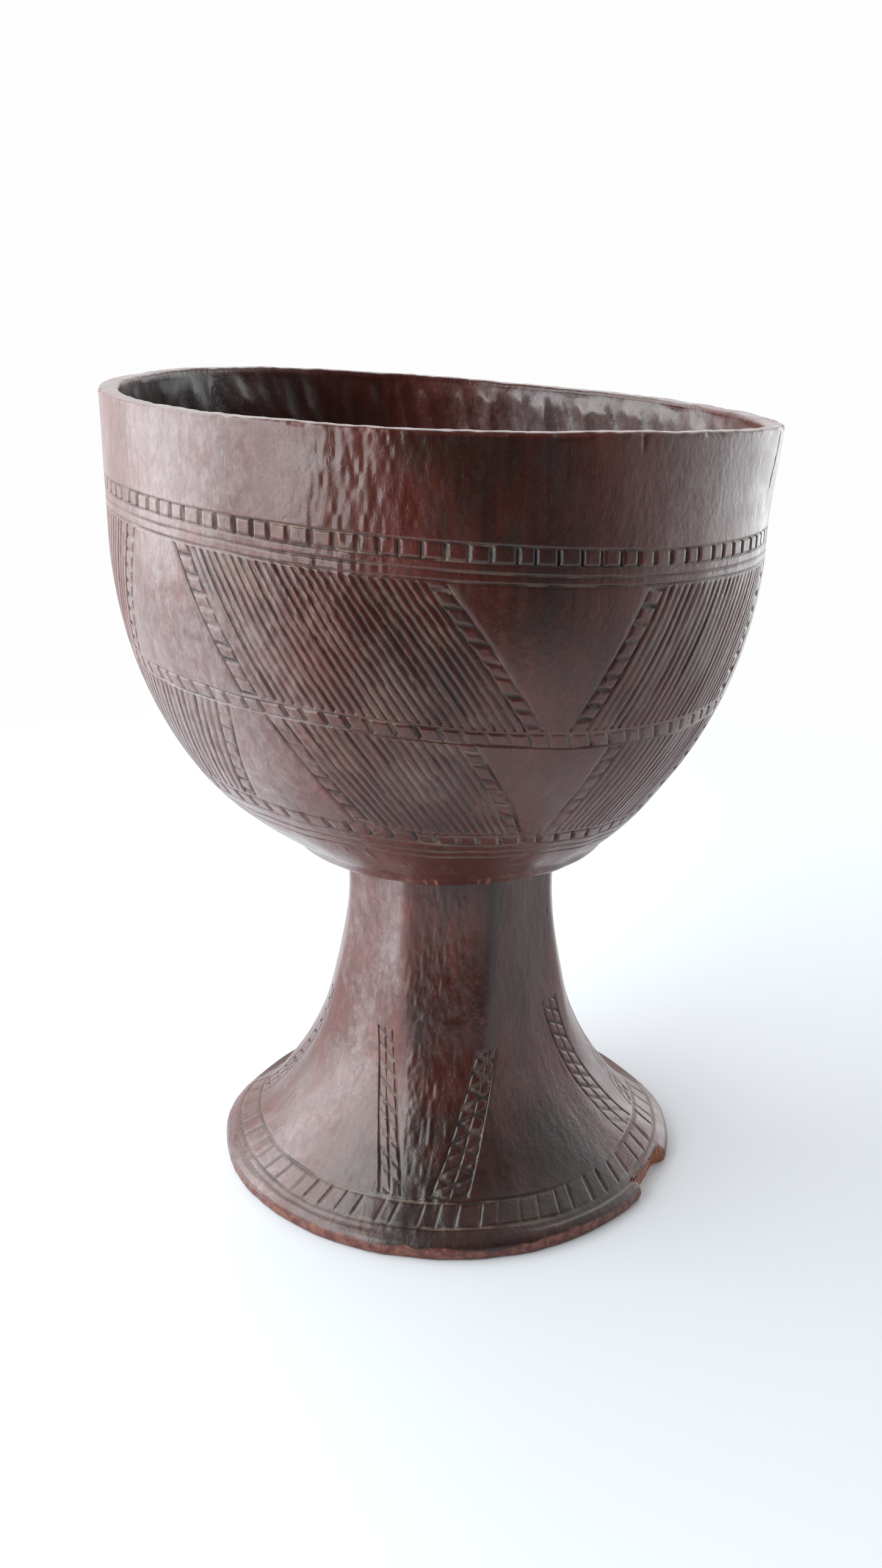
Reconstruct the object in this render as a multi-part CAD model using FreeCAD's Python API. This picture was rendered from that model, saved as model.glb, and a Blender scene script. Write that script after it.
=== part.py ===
"""A footed wooden bowl: a round cup on a trumpet-shaped pedestal, both cut by hand from one block.

The frame is in millimetres with +Z up. The origin is on the ground, under the middle of the cup,
so it is the bottom centre of the bowl's box. The rim climbs towards -X, as the carver left it.
Two solids meet face to face in the plane of the carved neck line.
"""

import FreeCAD
import Part

import math
import os

# The cup, measured from the ground and from its own upright axis.
RIM_HEIGHT = 250.0      # height of the rim's top over the axis
RIM_RISE = 5.4          # the rim is this much higher at -X, and this much lower at +X
RIM_EASE = 1.0          # rounding of the rim's two worn edges
CUP_RADIUS = 99.5       # outside, at the widest
BELLY_HEIGHT = 212.5    # the wall is upright above this height
CUP_DEPTH = 113.0       # upright half-axis of the ellipse under the belly
WALL = 5.3              # thickness of the wall above the belly
FLOOR_HEIGHT = 122.0    # lowest point inside
FLOOR_RADIUS = 9.0      # the small level spot at the bottom of the hollow
NECK_HEIGHT = 108.0     # plane where the cup stands on the pedestal

# The pedestal, from its own upright axis.
PEDESTAL_SHIFT = 3.4    # the pedestal stands this much off the cup's axis, to +X
FOOT_RADIUS = 77.0      # outside of the foot's edge
FOOT_EASE = 1.4         # rounding of the edge against the ground
EDGE_HEIGHT = 4.6       # the upright band round the foot
# Radius and height of the points that the trumpet's curve runs through, from the foot to the neck.
TRUMPET = [(74.4, 6.0), (66.6, 12.0), (56.6, 25.0), (45.9, 42.0), (38.4, 66.0), (34.6, 90.0), (34.4, NECK_HEIGHT)]

TURN = 360.0
UP = FreeCAD.Vector(0, 0, 1)
ACROSS = FreeCAD.Vector(0, 1, 0)
REACH = 2 * CUP_RADIUS  # wider than the bowl, for the blank that trims the rim
BLANK_TOP = RIM_HEIGHT + 2 * RIM_RISE  # the cup is turned up to here before the rim is trimmed


def at(radius, height):
    """A point of an outline, in the XZ plane."""
    return FreeCAD.Vector(radius, 0, height)


def straight(*points):
    """Straight edges from point to point."""
    return [Part.LineSegment(a, b).toShape() for a, b in zip(points, points[1:])]


def turned(edges):
    """The solid that a closed outline sweeps once round the Z axis."""
    face = Part.Face(Part.Wire(Part.__sortEdges__(edges)))
    return face.revolve(FreeCAD.Vector(0, 0, 0), UP, TURN)


def outside_of_cup():
    """The cup's outside as a full solid, taller than the rim."""
    neck_angle = math.acos((BELLY_HEIGHT - NECK_HEIGHT) / CUP_DEPTH)
    belly = Part.Ellipse(at(0, BELLY_HEIGHT - CUP_DEPTH), at(CUP_RADIUS, BELLY_HEIGHT), at(0, BELLY_HEIGHT))
    curve = Part.ArcOfEllipse(belly, neck_angle, math.pi / 2)
    neck = curve.value(neck_angle)
    corners = straight(at(CUP_RADIUS, BELLY_HEIGHT), at(CUP_RADIUS, BLANK_TOP), at(0, BLANK_TOP),
                       at(0, NECK_HEIGHT), neck)
    return turned([curve.toShape()] + corners)


def inside_of_cup():
    """The hollow of the cup as a solid."""
    radius = CUP_RADIUS - WALL
    floor_angle = math.acos(FLOOR_RADIUS / radius)
    depth = (BELLY_HEIGHT - FLOOR_HEIGHT) / math.sin(floor_angle)
    hollow = Part.Ellipse(at(radius, BELLY_HEIGHT), at(0, BELLY_HEIGHT - depth), at(0, BELLY_HEIGHT))
    curve = Part.ArcOfEllipse(hollow, 0, floor_angle)
    end = curve.value(floor_angle)
    corners = straight(end, at(0, FLOOR_HEIGHT), at(0, BLANK_TOP), at(radius, BLANK_TOP),
                       at(radius, BELLY_HEIGHT))
    return turned([curve.toShape()] + corners)


def above_rim():
    """A blank that covers everything over the tilted plane of the rim."""
    blank = Part.makeCylinder(REACH, REACH, at(0, RIM_HEIGHT), UP)
    blank.rotate(at(0, RIM_HEIGHT), ACROSS, math.degrees(math.atan2(RIM_RISE, CUP_RADIUS)))
    return blank


def rim_edges(solid):
    """The two long edges of the tilted rim."""
    low = RIM_HEIGHT - RIM_RISE - 1.0
    return [edge for edge in solid.Edges if edge.BoundBox.ZMin > low and edge.Length > math.pi * CUP_RADIUS]


def cup():
    """The bowl itself, hollowed and trimmed along the tilted rim."""
    body = outside_of_cup().cut(inside_of_cup())
    body = body.cut(above_rim())
    return body.makeFillet(RIM_EASE, rim_edges(body))


def pedestal():
    """The stem and flared foot, which stand off the cup's axis."""
    flare = Part.BSplineCurve()
    flare.interpolate([at(radius, height) for radius, height in TRUMPET])
    foot, top = at(*TRUMPET[0]), at(*TRUMPET[-1])
    base = straight(foot, at(FOOT_RADIUS, EDGE_HEIGHT), at(FOOT_RADIUS, FOOT_EASE),
                    at(FOOT_RADIUS - FOOT_EASE, 0), at(0, 0), at(0, NECK_HEIGHT), top)
    body = turned([flare.toShape()] + base)
    body.translate(FreeCAD.Vector(PEDESTAL_SHIFT, 0, 0))
    return body


def main():
    os.makedirs("parts", exist_ok=True)
    for name, shape in (("cup", cup()), ("pedestal", pedestal())):
        shape = shape.removeSplitter()
        solid = shape.Solids[0]
        box = solid.BoundBox
        print(name, "solids", len(shape.Solids), "valid", solid.isValid(), "volume", round(solid.Volume),
              "x", round(box.XMin, 2), round(box.XMax, 2), "z", round(box.ZMin, 2), round(box.ZMax, 2))
        solid.exportStep("parts/" + name + ".step")


main()
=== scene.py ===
"""Looks of the carved footed bowl: its two meshes, their wood, a pale floor, soft light and the camera.

Both meshes are rows of points. A row runs once round the bowl, and its columns follow the carving:
they lean with the knife lines of a hatched register, so that each cut is a crisp valley in the mesh.
Lengths are in millimetres until a mesh is made. Angles round the bowl are in degrees from +X,
anticlockwise from above, and the viewer stands at 270.
"""

import math

import bpy
import numpy as np
from mathutils import Matrix, Vector


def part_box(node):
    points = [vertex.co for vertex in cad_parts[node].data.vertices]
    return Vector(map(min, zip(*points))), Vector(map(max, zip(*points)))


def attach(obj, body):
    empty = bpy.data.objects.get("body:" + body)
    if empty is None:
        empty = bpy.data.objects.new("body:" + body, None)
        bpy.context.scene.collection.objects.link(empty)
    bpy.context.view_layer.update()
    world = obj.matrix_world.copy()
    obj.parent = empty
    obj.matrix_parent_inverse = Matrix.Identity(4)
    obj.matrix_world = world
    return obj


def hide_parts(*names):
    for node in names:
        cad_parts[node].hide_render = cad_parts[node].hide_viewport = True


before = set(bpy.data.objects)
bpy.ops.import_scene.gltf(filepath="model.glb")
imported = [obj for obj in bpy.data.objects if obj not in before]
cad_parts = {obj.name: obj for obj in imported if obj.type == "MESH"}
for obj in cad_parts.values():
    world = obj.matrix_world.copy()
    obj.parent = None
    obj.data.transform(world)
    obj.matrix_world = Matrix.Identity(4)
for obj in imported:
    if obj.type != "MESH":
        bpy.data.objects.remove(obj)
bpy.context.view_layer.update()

MM = 0.001
CUP_HIGH = np.array(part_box("cup")[1]) / MM
FOOT_LOW, FOOT_HIGH = (np.array(corner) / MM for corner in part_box("pedestal"))

# The cup. Its outside is an ellipse under the belly and an upright wall over it.
CUP_RADIUS = CUP_HIGH[0]
NECK = FOOT_HIGH[2]
RIM_RISE = 5.4
RIM = CUP_HIGH[2] - RIM_RISE
BELLY = 212.5
CUP_DEPTH = 113.0
WALL = 5.3
FLOOR = 122.0

# The pedestal's own axis, its edge, and the heights and radii that its side runs through.
STEM_SHIFT = (FOOT_LOW[0] + FOOT_HIGH[0]) / 2
FOOT_RADIUS = (FOOT_HIGH[0] - FOOT_LOW[0]) / 2
SIDE_HEIGHTS = np.array([6.0, 12.0, 25.0, 42.0, 66.0, 90.0, NECK])
SIDE_RADII = np.array([74.4, 65.4, 53.9, 44.2, 37.5, 33.9, 33.7])

# Knife cuts.
LINE_HALF = 0.54        # half the width of a hatch line
RING_HALF = 0.44        # half the width of a line that runs round
LADDER_HALF = 1.5       # half the width of a leaning ladder, in degrees
HATCH_PITCH = 2.75      # level distance between hatch lines
RUNG_PITCH = 4.4        # distance along a leaning ladder between its pits
FINE = 0.45             # row spacing across a ring
TOP_PITS = 110          # pits round each ladder ring
MIDDLE_PITS = 97
LOW_PITS = 76
FOOT_PITS = 66

# Columns of the plain rows.
RIM_COLUMNS = 1152
PLAIN_COLUMNS = 480
STEM_COLUMNS = 600
EDGE_COLUMNS = 960
INSIDE_COLUMNS = 576
FLOOR_START = 78        # the row from which the hollow's floor needs fewer columns

# Hollows of the adze.
ADZE_COLUMNS = 84       # hollows round the inside wall
ADZE_HEIGHT = 24        # height of each
NO_REPEAT = 400         # more columns than a level floor has, so that its hollows never repeat


# ---------------------------------------------------------------- noise and small curves

def hashed(ix, iy, iz, seed):
    """A repeatable number from -1 to 1 for each lattice point."""
    h = ix.astype(np.int64) * 73856093 ^ iy.astype(np.int64) * 19349663 ^ iz.astype(np.int64) * 83492791
    h = (h ^ (seed * 2654435761)) & 0xFFFFFFFF
    h = ((h ^ (h >> 15)) * 2246822519) & 0xFFFFFFFF
    h = ((h ^ (h >> 13)) * 3266489917) & 0xFFFFFFFF
    return ((h ^ (h >> 16)) & 0xFFFF) / 32767.5 - 1.0


def noise(x, y, z, seed=0):
    """Smooth noise, mostly from -0.6 to 0.6, with about one bump per unit."""
    x, y, z = np.broadcast_arrays(x, y, z)
    cell = [np.floor(c) for c in (x, y, z)]
    part = [c - low for c, low in zip((x, y, z), cell)]
    fade = [p * p * p * (p * (p * 6 - 15) + 10) for p in part]
    total = np.zeros(x.shape)
    for dx in (0, 1):
        for dy in (0, 1):
            for dz in (0, 1):
                weight = np.ones(x.shape)
                for step, share in zip((dx, dy, dz), fade):
                    weight = weight * (share if step else 1 - share)
                total += weight * hashed(cell[0] + dx, cell[1] + dy, cell[2] + dz, seed)
    return total


def ring_noise(theta, period, seed=0):
    """Smooth noise round the bowl with about one bump per period, the same at 0 and 360."""
    size = 360.0 / (2 * math.pi * period)
    turn = np.radians(theta)
    return noise(size * np.cos(turn) + 7.3, size * np.sin(turn) + 3.1, 0.37, seed)


def ease(value, low, high):
    """0 below low, 1 above high and a smooth climb between."""
    t = np.clip((value - low) / (high - low), 0, 1)
    return t * t * (3 - 2 * t)


def near(theta, centre, width):
    """1 at the centre angle, falling smoothly to 0 at width degrees from it."""
    away = np.abs((theta - centre + 180) % 360 - 180)
    return ease(width - away, 0, width)


def valley(distance, half):
    """Depth share of a knife cut: 1 in its middle, 0 at its edges, with crisp edges."""
    v = np.clip(1 - np.abs(distance) / half, 0, 1)
    return v * (1.5 - 0.5 * v)


def scoops(across, along, turns, seed):
    """Hollows left by an adze: 0 in the middle of each and up to about 1 on the ridges between.
    across repeats every turns units."""
    column, row = np.floor(across), np.floor(along)
    best = np.full(across.shape, 9.0)
    for dx in (-1, 0, 1):
        for dy in (-1, 0, 1):
            cx, cy = column + dx, row + dy
            wrapped = np.mod(cx, turns)
            px = cx + 0.5 + 0.38 * hashed(wrapped, cy, cx * 0, seed)
            py = cy + 0.5 + 0.38 * hashed(wrapped, cy, cx * 0 + 1, seed)
            best = np.minimum(best, (across - px) ** 2 + (along - py) ** 2)
    return best


# ---------------------------------------------------------------- shells of rows

# Marks of the points: depth of a knife cut; bare wood; tone, darker above 0 and paler below, which also holds
# painted shade and painted sheen; warmth, redder above 0 and greyer below, whose grey also holds painted
# sheen.
CUT, BARE, TONE_AND_PAINTED_LIGHT, WARM_AND_SHEEN = range(4)
MARKS = ("cut", "bare", "tone_and_painted_light", "warm_and_sheen")


class Shell:
    """One closed mesh, made of rows that run once round the bowl: up its outside, then down its inside."""

    def __init__(self):
        self.points = []
        self.marks = []
        self.quads = []
        self.triangles = []
        self.count = 0
        self.last = None

    def take(self, points, marks):
        """Stores points and their marks, and returns the numbers they get."""
        numbers = self.count + np.arange(len(points))
        self.points.append(points)
        self.marks.append(marks)
        self.count += len(points)
        return numbers

    def pole(self, point):
        """A point on the axis that closes the shell: its first row, or its last."""
        number = self.take(np.array([point], float), np.zeros((1, len(MARKS))))[0]
        if self.last is None:
            self.last = (number, None)
            return
        row = self.last[0]
        self.triangles.append(np.stack([row, np.roll(row, -1), np.full(len(row), number)], 1))

    def add(self, theta, points, marks):
        """Adds a block of rows. theta is rows by columns, points and marks have one more axis."""
        rows, columns = theta.shape
        numbers = self.take(points.reshape(-1, 3), marks.reshape(-1, len(MARKS))).reshape(rows, columns)
        if self.last is not None:
            self.join(*self.last, numbers[0], theta[0])
        low, high = numbers[:-1], numbers[1:]
        block = np.stack([low, np.roll(low, -1, 1), np.roll(high, -1, 1), high], -1)
        self.quads.append(block.reshape(-1, 4))
        self.last = (numbers[-1], theta[-1])

    def join(self, low, low_theta, high, high_theta):
        """Joins two rows: a pole's fan, plain squares, or a strip of triangles where the columns differ."""
        if low_theta is None:
            self.triangles.append(np.stack([np.full(len(high), low), np.roll(high, -1), high], 1))
            return
        if len(low) == len(high) and np.abs(low_theta - high_theta).max() < 0.01:
            self.quads.append(np.stack([low, np.roll(low, -1), np.roll(high, -1), high], 1))
            return
        gap = (high_theta - low_theta[0] + 180) % 360 - 180
        first = int(np.argmin(np.abs(gap)))
        high = np.roll(high, -first)
        step = np.mod(np.diff(np.roll(high_theta, -first)), 360)
        a = np.append(low_theta, low_theta[0] + 360)
        b = low_theta[0] + gap[first] + np.concatenate([[0], np.cumsum(step)])
        b = np.append(b, b[0] + 360)
        i = j = 0
        made = []
        while i < len(low) or j < len(high):
            here, there = low[i % len(low)], high[j % len(high)]
            if j == len(high) or (i < len(low) and a[i + 1] <= b[j + 1]):
                i += 1
                made.append((here, low[i % len(low)], there))
            else:
                j += 1
                made.append((here, high[j % len(high)], there))
        self.triangles.append(np.array(made))

    def build(self, name):
        """The finished object, in metres, with its marks as attributes."""
        points = np.concatenate(self.points) * MM
        marks = np.concatenate(self.marks)
        quads = np.concatenate(self.quads)
        triangles = np.concatenate(self.triangles)
        mesh = bpy.data.meshes.new(name)
        mesh.vertices.add(len(points))
        mesh.vertices.foreach_set("co", points.astype(np.float32).ravel())
        corners = np.concatenate([quads.ravel(), triangles.ravel()])
        sizes = np.concatenate([np.full(len(quads), 4), np.full(len(triangles), 3)])
        mesh.loops.add(len(corners))
        mesh.loops.foreach_set("vertex_index", corners.astype(np.int32))
        mesh.polygons.add(len(sizes))
        mesh.polygons.foreach_set("loop_start", (np.cumsum(sizes) - sizes).astype(np.int32))
        mesh.update(calc_edges=True)
        mesh.validate()
        mesh.shade_smooth()
        for index, mark in enumerate(MARKS):
            attribute = mesh.attributes.new(mark, "FLOAT", "POINT")
            attribute.data.foreach_set("value", marks[:, index].astype(np.float32))
        piece = bpy.data.objects.new(name, mesh)
        bpy.context.scene.collection.objects.link(piece)
        return piece


def around(theta, radius, height, shift=0.0):
    """Points at an angle, radius and height about an axis moved along X by shift."""
    turn = np.radians(theta)
    return np.stack([radius * np.cos(turn) + shift, radius * np.sin(turn), height + 0 * turn], -1)


def even(columns):
    """The angles of a row with evenly spread columns."""
    return np.arange(columns) * 360.0 / columns


def rows_between(low, high, spacing, lines=()):
    """Heights from low to high: evenly spaced, with close ones across each carved line."""
    plain = np.linspace(low, high, max(2, int(round(abs(high - low) / spacing)) + 1))
    keep = [h for h in plain if all(abs(h - line) > 1.4 * RING_HALF for line in lines)]
    close = [line + share * RING_HALF for line in lines for share in (-1, -0.5, 0, 0.5, 1)]
    return np.array(sorted(keep + [h for h in close if low <= h <= high]))


def pitched(count, shares, seed, jitter):
    """Columns that gather at count cuts round the bowl. Returns each column's angle and the signed part of
    a pitch from its cut."""
    cut = np.repeat(np.arange(count), len(shares))
    share = np.tile(shares, count)
    moved = jitter * hashed(np.arange(count + 1) % count, np.zeros(count + 1), np.zeros(count + 1), seed)
    shift = moved[cut] * (1 - share) + moved[cut + 1] * share
    return (cut + share + shift) * 360.0 / count, np.where(share > 0.5, share - 1, share)


# ---------------------------------------------------------------- the cup's outside

# Heights over the cup's axis of the curves that its carving keeps to, how far each climbs towards -X
# with the rim, and how much each wanders.
KEY_HEIGHTS = np.array([NECK, 114.0, 128.6, 131.4, 134.4, 138.2, 170.4, 174.1,
                        213.2, 214.4, 216.9, 219.5, 223.6, RIM])
KEY_RISES = np.array([0.0, 1.5, 5.8, 6.3, 6.6, 7.0, 7.2, 7.2, 7.6, 7.6, 7.6, 7.6, 7.5, RIM_RISE])
KEY_WANDER = np.array([0.0, 0.2, 0.7, 0.7, 0.8, 0.8, 1.3, 1.2, 0.7, 0.7, 0.6, 0.6, 0.6, 0.0])
LOW_LADDER = (134.4, 138.2)
LOW_LINES = (128.6, 131.4)
MIDDLE_LADDER = (170.4, 174.1)
TOP_LINES = (214.4, 216.9)
TOP_LADDER = (219.5, 223.6)
ZONE_GAP = 0.35         # between the last row of one zone and the first of the next
LOW_START = 127.4       # the first row of the lowest ring


def key_height(index, theta):
    """Height of a key curve at each angle."""
    turn = np.radians(theta)
    height = KEY_HEIGHTS[index] - KEY_RISES[index] * np.cos(turn)
    wander = ring_noise(theta, 46, 5 + index // 2) + 0.3 * ring_noise(theta, 13, 40 + index)
    height = height + KEY_WANDER[index] * wander
    if index == len(KEY_HEIGHTS) - 1:
        height = height - 0.3 * np.cos(2 * turn) - 1.1 * np.sin(2 * turn)
        height = height + 0.7 * np.clip(np.sin(turn), 0, 1) + 0.9 * near(theta, 42, 50)
        height = height + 0.4 * ring_noise(theta, 17, 3) + 0.16 * ring_noise(theta, 4, 4)
    return height


def cup_height(level, theta):
    """Real height of a row: level is its height over the axis, before tilt and wander."""
    index = int(np.clip(np.searchsorted(KEY_HEIGHTS, level) - 1, 0, len(KEY_HEIGHTS) - 2))
    share = (level - KEY_HEIGHTS[index]) / (KEY_HEIGHTS[index + 1] - KEY_HEIGHTS[index])
    return (1 - share) * key_height(index, theta) + share * key_height(index + 1, theta)


def cup_radius(z):
    """Outside radius of the cup at a height, a little fuller close to the neck."""
    drop = np.clip(BELLY - z, 0, None) / CUP_DEPTH
    radius = CUP_RADIUS * np.sqrt(np.clip(1 - drop * drop, 0.05, 1))
    return radius + 2.6 * np.sin(math.pi * np.clip((117 - z) / (117 - NECK), 0, 1)) ** 2


def lip_flare(theta, z):
    """How far the wall opens out towards the rim on the right."""
    return 3.3 * near(theta, 0, 80) * ease(z, 212, 252)


def stem_axis(z):
    """How far the pedestal's axis stands to the right, leaning a little towards the neck."""
    return STEM_SHIFT + 0.3 + 0.9 * ease(z, 20, 95)


def lean_to_stem(z):
    """How far the cup's underside leans over to meet the stem's own axis."""
    return stem_axis(NECK) * (1 - ease(z, NECK, NECK + 34))


def cup_relief(theta, z):
    """Hand-made unevenness of the cup's outside, outwards."""
    turn = np.radians(theta)
    x, y = CUP_RADIUS * np.cos(turn), CUP_RADIUS * np.sin(turn)
    broad = 0.42 * noise(x / 34, y / 34, z / 40, 11) + 0.22 * noise(x / 11, y / 11, z / 30, 12)
    rough = 0.3 + 0.7 * ease(noise(x / 26, y / 26, z / 30, 13), -0.05, 0.35)
    rough = rough * (0.25 + near(theta, 256, 20) + 0.4 * near(theta, 60, 50) + 0.4 * near(theta, 150, 40))
    rough = rough * (0.6 + 0.6 * ease(z, 190, 225))
    ripple = 0.5 * noise(x / 1.6, y / 1.6, z / 6.5, 14) + 1.1 * noise(x / 1.1, y / 1.1, z / 3.4, 15)
    return broad + 0.14 * rough * ripple


def cup_block(levels, theta, depth, cut):
    """Points and marks of outside rows, sunk by depth along the surface's own normal."""
    z = np.stack([cup_height(level, row) for level, row in zip(levels, theta)])
    slope = (cup_radius(z + 0.2) - cup_radius(z - 0.2)) / 0.4
    length = np.sqrt(1 + slope * slope)
    out = cup_relief(theta, z) * ease(z, NECK, NECK + 8) - depth
    radius = cup_radius(z) + lip_flare(theta, z) + out / length
    points = around(theta, radius, z - out * slope / length)
    points[..., 0] += lean_to_stem(z)
    return points, cup_marks(theta, z, cut)


def cup_marks(theta, z, cut=0.0):
    """The marks of points of the cup."""
    marks = np.zeros(theta.shape + (len(MARKS),))
    marks[..., CUT] = cut
    marks[..., TONE_AND_PAINTED_LIGHT] = tone_and_painted_light(theta, z)
    marks[..., WARM_AND_SHEEN] = warmth_and_sheen(theta, z)
    torn = near(theta, 272, 44) * ease(ring_noise(theta, 1.1, 63) + 0.3 * ring_noise(theta, 4, 65), 0.0, 0.3)
    marks[..., BARE] = torn * ease(-z, -NECK - 8.0, -NECK - 6.0)
    return marks


def tone_and_painted_light(theta, z):
    """Where handling and smoke have darkened the wood, with painted shade at the front middle, 0 to 1, and
    where it is paler, below 0, which is painted sheen towards the viewer's left and right.
    """
    turn = np.radians(theta)
    x, y = np.cos(turn), np.sin(turn)
    dark = near(theta, 281, 26) * ease(z, 175, 232) + 0.2 * near(theta, 275, 40)
    dark = dark + 0.5 * near(theta, 95, 60) + 0.3 * noise(x * 2.6, y * 2.6, z / 60, 21)
    # Painted sheen towards the viewer's left and right.
    painted_sheen = 0.55 * near(theta, 228, 44) + 0.35 * near(theta, 312, 36)
    return np.clip(dark - painted_sheen, -1, 1)


def warmth_and_sheen(theta, z):
    """Where the wood is redder, above 0, or greyer, below 0. The grey set by angle, towards the viewer's left
    and right, is painted sheen.
    """
    turn = np.radians(theta)
    x, y = np.cos(turn), np.sin(turn)
    red = 1.2 * near(theta, 267, 16) * ease(z, 195, 225) + 0.5 * near(theta, 240, 22) * near(z, 205, 34)
    red = red + 0.4 * near(theta, 285, 14) * near(z, 195, 40) + 0.45 * noise(x * 3.1, y * 3.1, z / 38, 22)
    red = red + 0.8 * near(theta, 283, 20) * ease(z, 185, 225)
    # Painted sheen: greyer towards the viewer's left and right.
    grey_and_sheen = 0.5 * near(theta, 312, 34) + 0.4 * near(theta, 205, 30)
    grey_and_sheen = grey_and_sheen + 0.6 * near(theta, 262, 12) * near(z, 188, 26)
    return np.clip(red - grey_and_sheen, -1, 1)


def ladder_pits(part, pitch, half=0.78):
    """Depth share of wedge-shaped pits, steep on one side and sloping on the other."""
    away = part * pitch
    steep = ease(away, -half, -0.55 * half)
    slant = 1 - np.clip((away + 0.2 * half) / (1.2 * half), 0, 1)
    return steep * slant


PIT_SHARES = np.array([0, 0.075, 0.15, 0.26, 0.38, 0.5, 0.62, 0.74, 0.85, 0.925])


def ring_block(shell, low, high, lines, ladder, count, seed, lean=0.0):
    """A zone with level lines and one ladder of pits, whose columns gather at the pits."""
    base, part = pitched(count, PIT_SHARES, seed, 0.13)
    cuts = sorted(lines + ladder)
    levels = rows_between(low, high, FINE, cuts)
    middle = sum(ladder) / 2
    theta = base[None, :] + lean * (levels[:, None] - middle)
    radius = cup_radius(levels)[:, None]
    lined = np.zeros(theta.shape)
    for index, line in enumerate(cuts):
        pressed = 0.75 + 0.45 * ring_noise(base, 9, seed + 3 * index)[None, :]
        lined = np.maximum(lined, valley(levels[:, None] - line, RING_HALF) * np.clip(pressed, 0.25, 1.1))
    inside = ease(levels, ladder[0] - 0.2, ladder[0] + 0.3)
    inside = inside * ease(-levels, -ladder[1] - 0.2, -ladder[1] + 0.3)
    pitch = 2 * math.pi * radius / count
    strength = 0.8 + 0.5 * ring_noise(base, 7, seed + 31)
    pits = ladder_pits(part[None, :], pitch) * inside[:, None] * np.clip(strength, 0.3, 1.2)[None, :]
    depth = np.maximum(0.52 * lined, pits)
    shell.add(theta, *cup_block(levels, theta, depth, np.maximum(lined, pits)))


def register_columns(tops, bottoms, radius):
    """Columns of a hatched register. Ladders stand at the given angles, top and bottom. Between them come
    a hatched panel, a plain one, and so on. Returns each column's angle at the top and at the bottom, its
    distance from the nearest cut line as a share of the width there, and whether it is in a ladder."""
    edges = [np.stack([row - LADDER_HALF, row + LADDER_HALF], 1).ravel() for row in (tops, bottoms)]
    edges = [np.append(row, row[0] + 360) for row in edges]
    columns = []
    for k in range(len(edges[0]) - 1):
        wide = np.radians((edges[0][k + 1] - edges[0][k] + edges[1][k + 1] - edges[1][k]) / 2) * radius
        if k % 2 == 0:
            shares = [(w, 1.0, 1.0) for w in (0, 0.06, 0.13, 0.3, 0.5, 0.7, 0.87, 0.94)]
        elif k % 4 == 1:
            cuts = int(round(wide / HATCH_PITCH))
            bend = 0.2 * hashed(np.arange(cuts + 1), np.full(cuts + 1, k), np.zeros(cuts + 1), 77)
            bend[[0, -1]] = 0
            shares = []
            for line in range(cuts):
                for part in (0, 0.12, 0.25, 0.5, 0.75, 0.88):
                    moved = line + part + bend[line] * (1 - part) + bend[line + 1] * part
                    shares.append((moved / cuts, cuts, 0.0))
        else:
            fine = [LINE_HALF * share / wide for share in (0, 0.5, 1)]
            count = max(3, int(round(wide / 0.95)))
            middle = list(np.linspace(fine[-1], 1 - fine[-1], count)[1:-1])
            shares = [(w, 1.0, 0.0) for w in fine + middle + [1 - w for w in fine[:0:-1]]]
        for share, cuts, ladder in shares:
            columns.append((k, share, cuts, ladder))
    k, share, cuts, ladder = np.array(columns).T
    k = k.astype(int)
    top = edges[0][k] + share * (edges[0][k + 1] - edges[0][k])
    bottom = edges[1][k] + share * (edges[1][k + 1] - edges[1][k])
    return k, share, cuts, ladder, top, bottom, edges


def register_block(shell, low, high, tops, bottoms, seed):
    """A register of leaning hatched and plain panels with a ladder down each side of the hatching."""
    middle = cup_radius((low + high) / 2)
    k, share, cuts, ladder, top, bottom, edges = register_columns(tops, bottoms, middle)
    levels = rows_between(low, high, 0.55)
    down = ((high - levels) / (high - low))[:, None]
    straight = top[None, :] * (1 - down) + bottom[None, :] * down
    wander = 0.1 * noise(straight / 3.1, levels[:, None] / 13, 0.5, seed)
    theta = straight + wander
    radius = cup_radius(levels)[:, None]
    left, right = (edges[0][k + side] * (1 - down) + edges[1][k + side] * down for side in (0, 1))
    wide = np.radians(right - left) * radius
    lean = np.cos(np.arctan(np.radians(bottom - top)[None, :] * radius / (high - low)))
    step = share * cuts
    away = np.abs(step - np.round(step))[None, :] * wide / cuts[None, :] * lean
    line = np.round(step)[None, :] * 5.3 + k[None, :] * 3.7
    pressed = 0.9 + 0.4 * noise(line, levels[:, None] / 12, 0.2, seed + 1)
    pressed = np.clip(pressed, 0.3, 1.15) - 0.3 * near(straight, 322, 44)
    half = LINE_HALF - (LINE_HALF - RING_HALF) * ladder[None, :]
    lined = valley(away, half) * np.clip(pressed, 0.15, 1.15)
    rung = (levels[:, None] + 0.5 * share[None, :]) / RUNG_PITCH + 0.37 * k[None, :]
    rung = rung + 0.12 * hashed(np.round(rung), k[None, :] + 0 * rung, rung * 0, seed + 2)
    pits = ladder_pits(rung - np.round(rung), RUNG_PITCH, 0.8) * ladder[None, :]
    strength = 0.85 + 0.5 * noise(k[None, :] * 2.7, levels[:, None] / 6, 0.9, seed + 4)
    pits = pits * ease(away, 0.1, 0.4) * np.clip(strength, 0.2, 1.2)
    depth = np.maximum(0.64 * lined, 0.8 * pits)
    shell.add(theta, *cup_block(levels, theta, depth, np.maximum(lined, pits)))


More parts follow.
